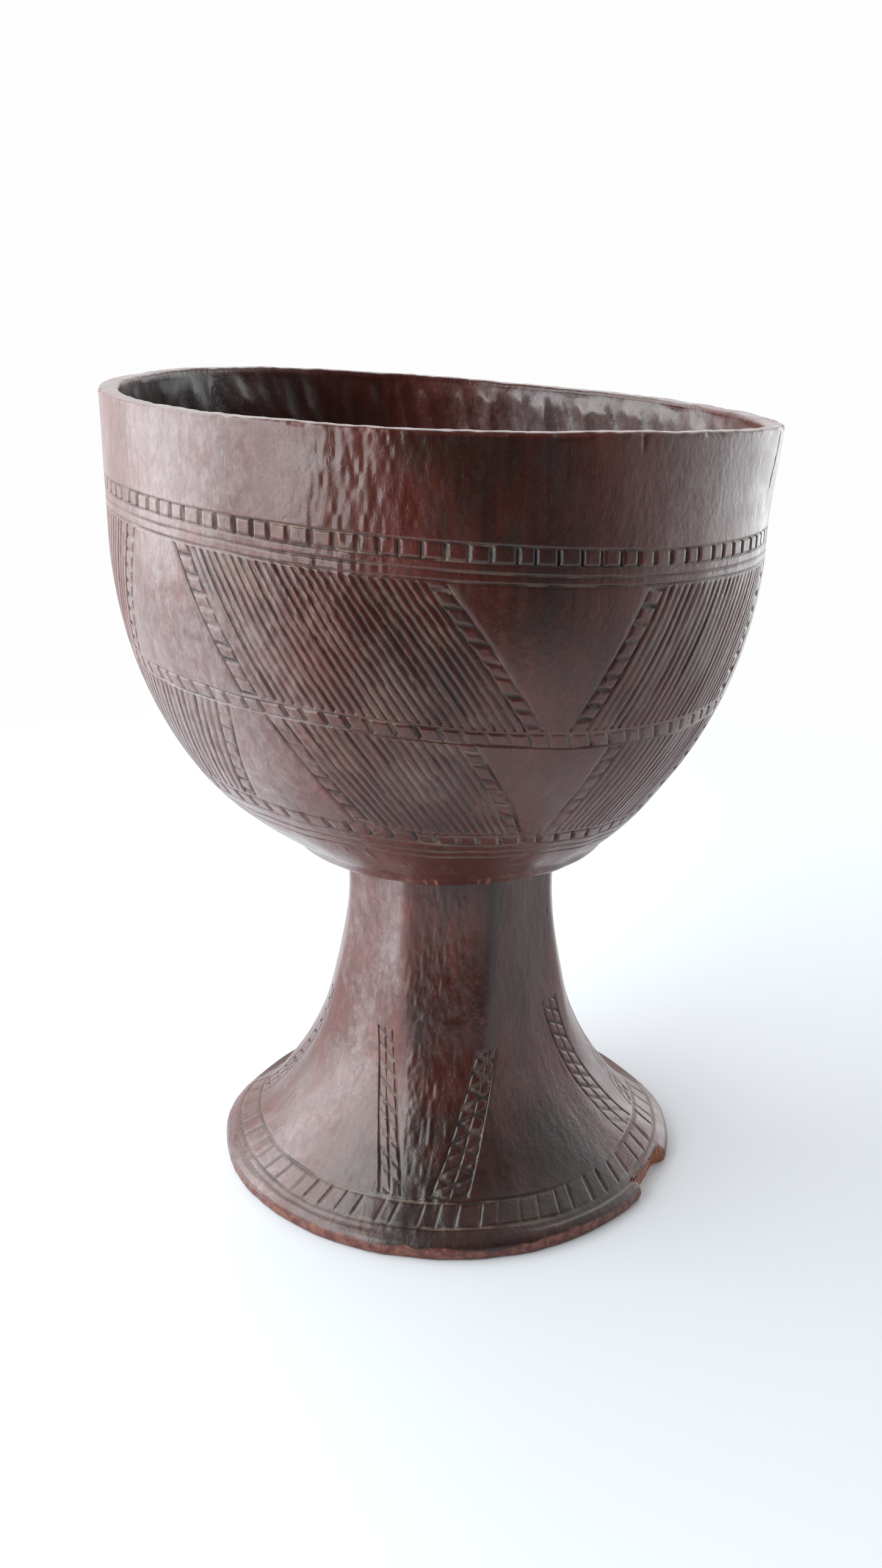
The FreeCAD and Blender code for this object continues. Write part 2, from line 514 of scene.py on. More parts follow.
# Angles of the ladders, from the panel that faces the viewer's left, at the top and bottom of each register.
UPPER_TOPS = np.array([228, 270, 305, 342, 358, 396, 427, 462, 476, 512, 539, 573.0])
UPPER_BOTTOMS = np.array([239, 286, 294, 333, 369, 411, 419, 453, 487, 526, 533, 566.0])
LOWER_TOPS = np.array([243, 275, 303, 335, 347, 387, 420, 460, 473, 515, 550, 592.0])
LOWER_BOTTOMS = np.array([255, 287, 296, 328, 359, 399, 411, 454, 485, 527, 542, 588.0])
# Heights where the zones of the outside end: the underside, then rings and registers in turn.
MARGIN = 0.9
ZONE_ENDS = (127.0, LOW_LADDER[1] + MARGIN, MIDDLE_LADDER[0] - MARGIN, MIDDLE_LADDER[1] + MARGIN,
             TOP_LINES[0] - MARGIN, TOP_LADDER[1] + MARGIN)


def cup_outside(shell):
    """From the neck up to the rim's outer edge."""
    levels = np.array([NECK - 0.9, NECK - 0.2, NECK + 0.4, NECK + 1.2])
    theta = np.tile(even(PLAIN_COLUMNS), (len(levels), 1))
    radius = 36.0 + np.array([-2.6, -0.6, 1.5, 4.2])[:, None] + 0.25 * ring_noise(theta, 8, 61)
    radius = radius + 0.35 * ring_noise(theta, 1.6, 62) * np.array([0.5, 1, 1, 0.4])[:, None]
    sag = -1.7 * near(theta, 215, 55) * np.array([1, 1, 0.5, 0.2])[:, None]
    points = around(theta, radius, levels[:, None] + sag)
    points[..., 0] += stem_axis(NECK)
    shell.pole((stem_axis(NECK), 0, NECK - 0.3))
    shell.add(theta, points, cup_marks(theta, levels[:, None]))

    levels = rows_between(NECK + 2.4, ZONE_ENDS[0], 0.9)
    theta = np.tile(even(PLAIN_COLUMNS), (len(levels), 1))
    shell.add(theta, *cup_block(levels, theta, 0.0, 0.0))
    starts = [LOW_START] + [end + ZONE_GAP for end in ZONE_ENDS[1:]]
    ring_block(shell, starts[0], ZONE_ENDS[1], LOW_LINES, LOW_LADDER, LOW_PITS, 100, -0.2)
    register_block(shell, starts[1], ZONE_ENDS[2], LOWER_TOPS, LOWER_BOTTOMS, 200)
    ring_block(shell, starts[2], ZONE_ENDS[3], (), MIDDLE_LADDER, MIDDLE_PITS, 300, -0.3)
    register_block(shell, starts[3], ZONE_ENDS[4], UPPER_TOPS, UPPER_BOTTOMS, 400)
    ring_block(shell, starts[4], ZONE_ENDS[5], TOP_LINES, TOP_LADDER, TOP_PITS, 500)

    levels = rows_between(starts[5], RIM - 1.4, 0.7)
    theta = np.tile(even(RIM_COLUMNS), (len(levels), 1))
    split = cracks(theta, levels[:, None])
    shell.add(theta, *cup_block(levels, theta, 0.8 * split, split))


def cracks(theta, level):
    """Depth share of the two drying cracks that start at the rim."""
    depth = np.zeros(theta.shape)
    for angle, lean, low in ((301.0, 0.02, 244.0), (341.0, 0.19, 232.0)):
        middle = angle + lean * (level - RIM) + 0.25 * noise(level / 2.5, angle, 0.0, 64)
        depth = np.maximum(depth, valley(theta - middle, 0.36) * ease(level, low, low + 6))
    return depth


def wall_thickness(theta):
    """Thickness of the wall at the rim."""
    return WALL * (1 + 0.09 * ring_noise(theta, 30, 71) + 0.05 * ring_noise(theta, 9, 72))


def cup_rim(shell):
    """Over the rim, from its outer edge to its inner edge."""
    theta = even(RIM_COLUMNS)
    top = key_height(len(KEY_HEIGHTS) - 1, theta)
    outer = cup_radius(RIM) + cup_relief(theta, top) + lip_flare(theta, top)
    section = [(0.0, -0.85), (0.02, -0.5), (0.06, -0.2), (0.13, -0.04), (0.3, 0.0), (0.5, 0.02), (0.7, 0.0),
               (0.86, -0.08), (0.94, -0.3), (0.985, -0.75), (1.0, -1.5)]
    share, drop = np.array(section).T[:, :, None]
    rows = np.tile(theta, (len(section), 1))
    nicked = 0.5 * ease(ring_noise(rows, 3.1, 75), 0.3, 0.55) * (1 - share) + 0.1 * ring_noise(rows, 1.2, 76)
    worn = 0.12 * noise(np.cos(np.radians(rows)) * 40, np.sin(np.radians(rows)) * 40, share * 2.5, 73)
    radius = outer - share * wall_thickness(theta) - nicked * (share < 0.2)
    height = top + drop + worn * (drop > -0.4)
    marks = cup_marks(rows, height)
    marks[..., TONE_AND_PAINTED_LIGHT] = marks[..., TONE_AND_PAINTED_LIGHT] * 0.5 - 0.1
    shell.add(rows, around(rows, radius, height), marks)


def cup_inside(shell):
    """Down the inside wall, which keeps the marks of the adze, to the floor."""
    upright = np.linspace(0.02, 1, 34)
    bowl = np.radians(np.linspace(0, 90, 122)[1:-6])
    depth = BELLY - FLOOR
    zones = (
        (INSIDE_COLUMNS, None),
        (INSIDE_COLUMNS, bowl[:FLOOR_START]),
        (INSIDE_COLUMNS // 3, bowl[FLOOR_START:]),
    )
    for columns, angles in zones:
        theta = np.tile(even(columns), (len(upright) if angles is None else len(angles), 1))
        top = key_height(len(KEY_HEIGHTS) - 1, theta) - 1.6
        if angles is None:
            z = top + (BELLY - top) * upright[:, None]
            shrink, down, inward = np.ones(z.shape), np.zeros(z.shape), np.ones(z.shape)
        else:
            z = BELLY - depth * np.sin(angles)[:, None] + 0 * theta
            shrink = np.cos(angles)[:, None] + 0 * theta
            down, inward = np.sin(angles)[:, None] + 0 * theta, np.cos(angles)[:, None] + 0 * theta
        upper = ease(z, BELLY - 60, RIM)
        inner = cup_radius(RIM) + lip_flare(theta, z) - wall_thickness(theta) * upper - WALL * (1 - upper)
        turn = np.radians(theta)
        x, y = inner * shrink * np.cos(turn), inner * shrink * np.sin(turn)
        side = ease(shrink, 0.5, 0.95)
        across = theta / 360 * ADZE_COLUMNS
        along = (BELLY - z) / ADZE_HEIGHT + 0.4 * np.sin(turn)
        upright_facets = scoops(across + 0.8 * along, along, ADZE_COLUMNS, 81)
        level_facets = scoops(x / 8 + 0.3 * y / 8, y / 13, NO_REPEAT, 85)
        facets = np.clip(1.8 * upright_facets * side + 0.8 * level_facets * (1 - side), 0, 0.9)
        broad = 0.4 * noise(x / 22, y / 22, z / 26, 82)
        fibre = 0.1 * noise(x / 1.6, y / 1.6, z / 7, 83)
        bold = 1.1 + 1.4 * near(theta, 60, 50) * side
        out = (bold * facets + broad + fibre * side) * ease(-z, -top, -top + 6)
        points = around(theta, (inner - out * inward) * shrink, z + out * down)
        marks = cup_marks(theta, z)
        # Painted light and shade on the inside: darker on the left wall, which lies in the rim's shade, and
        # paler and greyer on the right-back wall, which is painted sheen.
        shade_and_sheen = 0.4 + (1.3 * near(theta, 168, 46) - 2.2 * near(theta, 48, 54)) * side
        marks[..., TONE_AND_PAINTED_LIGHT] = shade_and_sheen + 0.3 * noise(x / 30, y / 30, z / 40, 84)
        marks[..., WARM_AND_SHEEN] = (0.5 * near(theta, 88, 30) - 1.2 * near(theta, 46, 46)) * side
        shell.add(theta, points, marks)
    shell.pole((0, 0, FLOOR))


def make_cup():
    """The bowl: one closed shell."""
    shell = Shell()
    cup_outside(shell)
    cup_rim(shell)
    cup_inside(shell)
    return shell.build("carved_cup")


# ---------------------------------------------------------------- the pedestal

FOOT_LADDER = (7.9, 12.4)
BANDS_TOP = 62.0
BAND_RADII = (42, 60)   # of the pedestal's side, about where the bands start and end
BAND_PITCH = 5.2        # distance along a band between its rungs
# Angles of the carved bands at their top and at the foot, and half their width there.
BAND_TOPS = np.array([195, 236, 293, 329, 378, 415, 468, 510.0])
BAND_FEET = np.array([176, 254, 270.5, 342, 357, 434, 448, 524.0])
BAND_HALVES_TOP = np.array([4.0, 4.8, 4.6, 4.2, 4.5, 4.8, 4.4, 4.6])
BAND_HALVES_FOOT = np.array([4.0, 3.2, 5.2, 4.6, 4.2, 3.6, 5.0, 4.2])
BAND_STARTS = np.array([60.0, 57.0, 52.0, 61.0, 58.0, 55.0, 60.0, 57.0])
RIDGE = 60.0            # sharpness of the ridges between the planes of the stem
CHIP = (325.5, 344.0)   # the broken stretch of the foot's edge
CHIP_RADIUS = 73.6


def side_radius(z):
    """Radius of the pedestal's side: a smooth curve through its points."""
    heights, radii = SIDE_HEIGHTS, SIDE_RADII
    slopes = np.gradient(radii, heights)
    index = np.clip(np.searchsorted(heights, z) - 1, 0, len(heights) - 2)
    run = heights[index + 1] - heights[index]
    t = np.clip((z - heights[index]) / run, 0, 1)
    return ((1 + 2 * t) * (1 - t) ** 2 * radii[index] + t * (1 - t) ** 2 * run * slopes[index]
            + t * t * (3 - 2 * t) * radii[index + 1] + t * t * (t - 1) * run * slopes[index + 1])


def facet_half(z):
    """Half the width of a plane that faces an axis, in degrees."""
    return 12 + 10.5 * ease(z, 8, 95)


def stem_facets(theta, z):
    """The stem is cut in eight broad planes, which soften down the foot. Four of them face the axes and keep
    their width, and the ones between widen. Outwards is positive."""
    wobble = 2.2 * ring_noise(theta, 60, 90) + 1.5 * noise(theta / 30, z / 24, 0.3, 89)
    half = facet_half(z)
    away = np.abs((theta + wobble + 45) % 90 - 45)
    facing = np.cos(np.radians(half)) / np.cos(np.radians(away))
    between = np.cos(np.radians(45 - half)) / np.cos(np.radians(45 - away))
    flat = -np.logaddexp(-RIDGE * facing, -RIDGE * between) / RIDGE - np.cos(np.radians(half))
    return flat * side_radius(z) * (0.2 + 0.6 * ease(z, 12, 70))


def stem_relief(theta, z):
    """Hand-made unevenness of the pedestal's side, outwards."""
    turn = np.radians(theta)
    x, y = 45 * np.cos(turn), 45 * np.sin(turn)
    broad = 0.35 * noise(x / 17, y / 17, z / 34, 91) + 0.18 * noise(x / 7, y / 7, z / 26, 92)
    rough = 0.3 + 1.1 * near(theta, 262, 26) + 0.5 * near(theta, 80, 60)
    ripple = noise(x / 1.5, y / 1.5, z / 4.5, 93) + 0.6 * noise(x / 0.95, y / 0.95, z / 2.4, 94)
    return stem_facets(theta, z) + broad + 0.13 * rough * ripple


def foot_tone_and_painted_light(theta, z):
    """Where the pedestal is darker or paler: darker in patches, on the stem's plane that faces the viewer,
    which is painted shade, and low on the front of the flare; paler on the planes to the viewer's left and
    right, which is painted sheen.
    """
    turn = np.radians(theta)
    half = facet_half(z)
    # Painted shade: darker on the stem's plane that faces the viewer.
    front_plane_shade = ease(theta % 360, 263 - half, 275 - half) * (1 - ease(theta % 360, 266 + half, 280 + half))
    dark = front_plane_shade + 0.5 * near(theta, 306, 40) + 0.5 * near(theta, 90, 70)
    dark = dark + (0.7 * near(theta, 285, 65) + 0.5 * near(theta, 238, 30)) * ease(-z, -40, -14)
    dark = dark + 0.3 * noise(np.cos(turn) * 2.4, np.sin(turn) * 2.4, z / 45, 95)
    # Painted sheen on the planes to the viewer's left and right.
    painted_sheen = 0.45 * near(theta, 222, 42) + 0.6 * near(theta, 244, 24) * ease(z, 55, 85)
    painted_sheen = painted_sheen + 0.6 * near(theta, 0, 40)
    return np.clip(dark - painted_sheen, -1, 1)


def foot_warmth_and_sheen(theta, z):
    """Where the pedestal is redder, above 0, or greyer, below 0; the grey low on the flare to the viewer's
    left is painted sheen.
    """
    turn = np.radians(theta)
    red = 1.3 * near(theta, 268, 18) * ease(z, 35, 75) + 0.3 * near(theta, 232, 20) * ease(z, 62, 92)
    red = red + 0.5 * noise(np.cos(turn) * 3.3, np.sin(turn) * 3.3, z / 26, 96)
    # The grey low on the flare to the viewer's left is painted sheen.
    grey_and_sheen = 0.7 * near(theta, 312, 34) + 0.9 * near(theta, 225, 50) * ease(-z, -66, -25)
    grey_and_sheen = grey_and_sheen + 0.3 * near(theta, 40, 60)
    grey_and_sheen = grey_and_sheen + 0.7 * near(theta, 285, 60) * ease(-z, -62, -22)
    return np.clip(red - grey_and_sheen, -1, 1)


def foot_marks(theta, z, cut=0.0):
    """The marks of points of the pedestal."""
    marks = np.zeros(theta.shape + (len(MARKS),))
    marks[..., CUT] = cut
    marks[..., TONE_AND_PAINTED_LIGHT] = foot_tone_and_painted_light(theta, z)
    marks[..., WARM_AND_SHEEN] = foot_warmth_and_sheen(theta, z)
    return marks


def chip_face(theta):
    """Radius of the split face of the chip, with its torn fibres, and where it is, 0 to 1."""
    fibres = 0.45 * ring_noise(theta, 1.3, 120) + 0.5 * ring_noise(theta, 4.5, 121)
    broken = ease(theta, CHIP[0] - 0.25, CHIP[0] + 0.25) * (1 - ease(theta, CHIP[1] - 4, CHIP[1]))
    return CHIP_RADIUS + fibres, broken


def bite(theta, radius):
    """The radius that is left where the chip broke off, and how much of it broke."""
    face, broken = chip_face(theta)
    left = np.where(radius > face, radius + (face - radius) * broken, radius)
    return left, ease(radius - left, 0.1, 0.4)


def side_block(levels, theta, depth, cut):
    """Points and marks of rows on the pedestal's side."""
    z = np.broadcast_to(levels[:, None], theta.shape)
    slope = (side_radius(z + 0.2) - side_radius(z - 0.2)) / 0.4
    length = np.sqrt(1 + slope * slope)
    out = stem_relief(theta, z) - depth
    radius = side_radius(z) + foot_shape(theta) * (1 - ease(z, 6, 34)) + out / length
    return around(theta, radius, z - out * slope / length, stem_axis(z)), foot_marks(theta, z, cut)


def foot_shape(theta):
    """How far the foot is from round: a little narrower at the back and fuller at the front right."""
    return 0.3 - 2.8 * ease(np.sin(np.radians(theta)), 0.02, 0.5) + 1.0 * near(theta, 325, 75)


def foot_underside(shell):
    """The underside, cut slightly hollow, out to the ring it stands on."""
    radii = np.concatenate([np.linspace(2, 66, 64), np.linspace(67, 72.4, 6)])
    theta = np.tile(even(PLAIN_COLUMNS), (len(radii), 1))
    radius = radii[:, None] * (1 + foot_shape(theta) / FOOT_RADIUS)
    turn = np.radians(theta)
    x, y = radius * np.cos(turn), radius * np.sin(turn)
    dish = 1.8 * (1 - ease(radius, 40, 69))
    tooled = 0.6 * scoops(x / 9 + 20, y / 17 + 20, NO_REPEAT, 96)
    height = dish + tooled * (1 - ease(radius, 60, 69))
    marks = foot_marks(theta, height)
    marks[..., BARE] = 0.55
    shell.pole((stem_axis(0), 0, 1.8))
    shell.add(theta, around(theta, radius, height, stem_axis(0)), marks)


def foot_edge(shell):
    """The worn upright edge of the foot with its chip, up to the start of the flare."""
    base = even(EDGE_COLUMNS)
    wander = 0.55 * ring_noise(base, 24, 97) + 0.35 * ring_noise(base, 7, 98) + 0.15 * ring_noise(base, 2, 99)
    section = [(-3.6, 0.0), (-2.2, 0.0), (-1.0, 0.0), (-0.55, 0.12), (-0.25, 0.45), (-0.08, 0.9), (0, 1.4),
               (0.05, 1.9), (0.05, 2.4), (0.0, 2.9), (-0.1, 3.4), (-0.25, 3.9), (-0.5, 4.4), (-0.85, 4.85),
               (-1.25, 5.25), (-1.75, 5.65), (-2.25, 6.05)]
    inset, z = np.array(section).T[:, :, None]
    theta = np.tile(base, (len(section), 1))
    hold = np.clip(1 - z / z.max(), 0, 1)
    radius = FOOT_RADIUS - 0.45 + foot_shape(theta) + inset + wander * (0.35 + 0.65 * hold)
    height = z + 0 * theta
    left, broken = bite(theta, radius)
    marks = foot_marks(theta, height)
    edge = 3.5 + 1.5 * ring_noise(base, 16, 122) + 0.7 * ring_noise(base, 3, 123) - 1.6 * near(base, 200, 30)
    worn = 1 - ease(height, edge - 0.35, edge + 0.35)
    marks[..., BARE] = np.maximum(0.55 * worn, broken)
    shell.add(theta, around(theta, left, height, stem_axis(0)), marks)


def foot_ladder(shell):
    """The ladder ring round the foot."""
    shares = np.array([0, 0.07, 0.14, 0.22, 0.32, 0.42, 0.5, 0.58, 0.68, 0.78, 0.86, 0.93])
    base, part = pitched(FOOT_PITS, shares, 130, 0.2)
    levels = rows_between(6.5, FOOT_LADDER[1] + 0.8, 0.36, FOOT_LADDER)
    theta = base[None, :] + 0.38 * (levels[:, None] - FOOT_LADDER[0])
    lined = np.zeros(theta.shape)
    faint = 1 - 0.75 * near(base, 312, 22)
    for index, line in enumerate(FOOT_LADDER):
        pressed = np.clip(0.8 + 0.5 * ring_noise(base, 9, 131 + index), 0.3, 1.15) * faint
        lined = np.maximum(lined, valley(levels[:, None] - line, RING_HALF) * pressed[None, :])
    inside = ease(levels, FOOT_LADDER[0] - 0.2, FOOT_LADDER[0] + 0.3)
    inside = inside * (1 - ease(levels, FOOT_LADDER[1] - 0.3, FOOT_LADDER[1] + 0.2))
    pitch = 2 * math.pi * side_radius(levels)[:, None] / FOOT_PITS
    strength = np.clip(0.85 + 0.5 * ring_noise(base, 8, 140), 0.3, 1.2)
    pits = valley(part[None, :] * pitch, 0.55) * inside[:, None] * strength[None, :]
    depth = np.maximum(0.5 * lined, 0.6 * pits)
    shell.add(theta, *side_block(levels, theta, depth, np.maximum(lined, pits)))


def foot_bands(shell):
    """The flare with its eight carved bands, whose columns lean with them."""
    low = FOOT_LADDER[1] + 0.8 + ZONE_GAP
    levels = rows_between(low, BANDS_TOP + 4, 0.5)
    edges = []
    for centres, halves in ((BAND_TOPS, BAND_HALVES_TOP), (BAND_FEET, BAND_HALVES_FOOT)):
        row = np.stack([centres - halves, centres + halves], 1).ravel()
        edges.append(np.append(row, row[0] + 360))
    columns = []
    for k in range(len(edges[0]) - 1):
        if k % 2 == 0:
            half = [0, 0.045, 0.09, 0.18, 0.27, 0.36, 0.41, 0.455]
            shares = half + [0.5] + [1 - w for w in half[:0:-1]]
        else:
            wide = np.radians(max((row[k + 1] - row[k]) * radius for row, radius in zip(edges, BAND_RADII)))
            fine = [LINE_HALF * share / wide for share in (0, 0.5, 1)]
            count = max(3, int(round(wide / 0.6)))
            middle = list(np.linspace(fine[-1], 1 - fine[-1], count)[1:-1])
            shares = fine + middle + [1 - w for w in fine[:0:-1]]
        columns.extend((k, share) for share in shares)
    k, share = np.array(columns).T
    k = k.astype(int)
    down = np.clip((BANDS_TOP - levels) / (BANDS_TOP - low), -0.2, 1)[:, None]
    left, right = (edges[0][k + side] * (1 - down) + edges[1][k + side] * down for side in (0, 1))
    straight = left + share * (right - left)
    theta = straight + 0.3 * noise(straight / 5, levels[:, None] / 12, 0.4, 150)
    wide = np.radians(right - left) * side_radius(levels)[:, None]
    band = (k % 2 == 0)[None, :]
    side = np.minimum(share, 1 - share)
    middle = np.where(band, np.minimum(side, np.abs(share - 0.5)), side)
    number = np.where(k % 2 == 0, k // 2, np.where(share < 0.5, k // 2, (k // 2 + 1) % len(BAND_TOPS)))
    start = 1 - ease(levels[:, None], BAND_STARTS[number] - 1.2, BAND_STARTS[number])
    line = number[None, :] * 7.7 + np.round(share * 2)
    pressed = np.clip(0.85 + 0.5 * noise(line, levels[:, None] / 10, 0.1, 151), 0.3, 1.2)
    lined = valley(middle * wide, RING_HALF) * pressed * start
    slant = np.where(number % 2 == 1, 1.0, -0.6)
    run = np.cumsum(np.hypot(np.gradient(side_radius(levels)), np.gradient(levels)))[:, None]
    cross = np.zeros(theta.shape)
    for sign, used in ((1.0, number >= 0), (-1.0, number == 2)):
        rung = (run + sign * slant * share * wide * 0.75) / BAND_PITCH + 0.31 * number
        rung = rung + 0.1 * hashed(np.round(rung), number + 0 * rung, rung * 0, 152)
        cross = np.maximum(cross, valley((rung - np.round(rung)) * BAND_PITCH, 0.66) * band * used)
    cross = cross * start * np.clip(1.0 + 0.6 * noise(number * 3.3, run / 7, 0.6, 153), 0.4, 1.2)
    depth = np.maximum(0.62 * lined, 0.7 * cross)
    shell.add(theta, *side_block(levels, theta, depth, np.maximum(lined, cross)))


def stem(shell):
    """The plain stem, up to where it goes under the cup."""
    levels = rows_between(BANDS_TOP + 4 + ZONE_GAP, NECK + 0.2, 0.7)
    theta = np.tile(even(STEM_COLUMNS), (len(levels), 1))
    shell.add(theta, *side_block(levels, theta, 0.0, 0.0))
    shell.pole((stem_axis(NECK), 0, NECK))


def make_pedestal():
    """The stem and foot: one closed shell."""
    shell = Shell()
    foot_underside(shell)
    foot_edge(shell)
    foot_ladder(shell)
    foot_bands(shell)
    stem(shell)
    return shell.build("carved_pedestal")


# ---------------------------------------------------------------- wood

class Shading:
    """A material and short ways to add nodes to it. Lengths are in millimetres of the object's own space."""

    def __init__(self, name):
        self.material = bpy.data.materials.new(name)
        self.material.use_nodes = True
        self.nodes = self.material.node_tree.nodes
        self.links = self.material.node_tree.links
        self.shader = self.nodes["Principled BSDF"]
        self.place = self.nodes.new("ShaderNodeTexCoord").outputs["Object"]

    def feed(self, socket, value):
        """Links a socket, or sets its number or colour."""
        if isinstance(value, bpy.types.NodeSocket):
            self.links.new(value, socket)
        else:
            socket.default_value = value

    def calc(self, operation, *values):
        """A Math node's result."""
        node = self.nodes.new("ShaderNodeMath")
        node.operation = operation
        for socket, value in zip(node.inputs, values):
            self.feed(socket, value)
        return node.outputs[0]

    def mark(self, name):
        """One of the mesh's marks."""
        node = self.nodes.new("ShaderNodeAttribute")
        node.attribute_name = name
        return node.outputs["Fac"]

    def grain(self, size, detail=3.0, offset=0.0, distortion=0.0):
        """Noise from 0 to 1 whose bumps have that (x, y, z) size."""
        mapping = self.nodes.new("ShaderNodeMapping")
        mapping.inputs["Scale"].default_value = [1 / (MM * length) for length in size]
        mapping.inputs["Location"].default_value = (offset, offset * 1.7, offset * 0.6)
        self.links.new(self.place, mapping.inputs["Vector"])
        node = self.nodes.new("ShaderNodeTexNoise")
        node.inputs["Scale"].default_value = 1.0
        node.inputs["Detail"].default_value = detail
        node.inputs["Distortion"].default_value = distortion
        self.links.new(mapping.outputs["Vector"], node.inputs["Vector"])
        return node.outputs["Fac"]

    def fade(self, value, low, high, start=0.0, end=1.0):
        """A smooth climb from start to end as the value goes from low to high."""
        node = self.nodes.new("ShaderNodeMapRange")
        node.interpolation_type = "SMOOTHSTEP"
        for socket, number in zip(node.inputs, (value, low, high, start, end)):
            self.feed(socket, number)
        return node.outputs[0]

    def mix(self, share, first, second, blend="MIX"):
        """Two colours mixed."""
        node = self.nodes.new("ShaderNodeMix")
        node.data_type = "RGBA"
        node.blend_type = blend
        self.feed(node.inputs["Factor"], share)
        colours = [socket for socket in node.inputs if socket.type == "RGBA"]
        self.feed(colours[0], first)
        self.feed(colours[1], second)
        return [socket for socket in node.outputs if socket.type == "RGBA"][0]

    def bump(self, height, distance, strength, normal=None):
        """A normal bent by a height."""
        node = self.nodes.new("ShaderNodeBump")
        node.inputs["Distance"].default_value = distance * MM
        node.inputs["Strength"].default_value = strength
        self.feed(node.inputs["Height"], height)
        if normal is not None:
            self.feed(node.inputs["Normal"], normal)
        return node.outputs["Normal"]


MAUVE = (0.156, 0.046, 0.037, 1)
MAROON = (0.090, 0.018, 0.012, 1)
RED = (0.190, 0.036, 0.024, 1)
SMOKE_AND_SHADE = (0.022, 0.010, 0.007, 1)
GREY_AND_SHEEN = (0.118, 0.070, 0.060, 1)
PALE_AND_SHEEN = (0.275, 0.220, 0.222, 1)
CUT_DARK = (0.018, 0.011, 0.009, 1)
DUST = (0.235, 0.165, 0.120, 1)
RAW = (0.185, 0.062, 0.040, 1)
RAW_PALE = (0.480, 0.165, 0.066, 1)


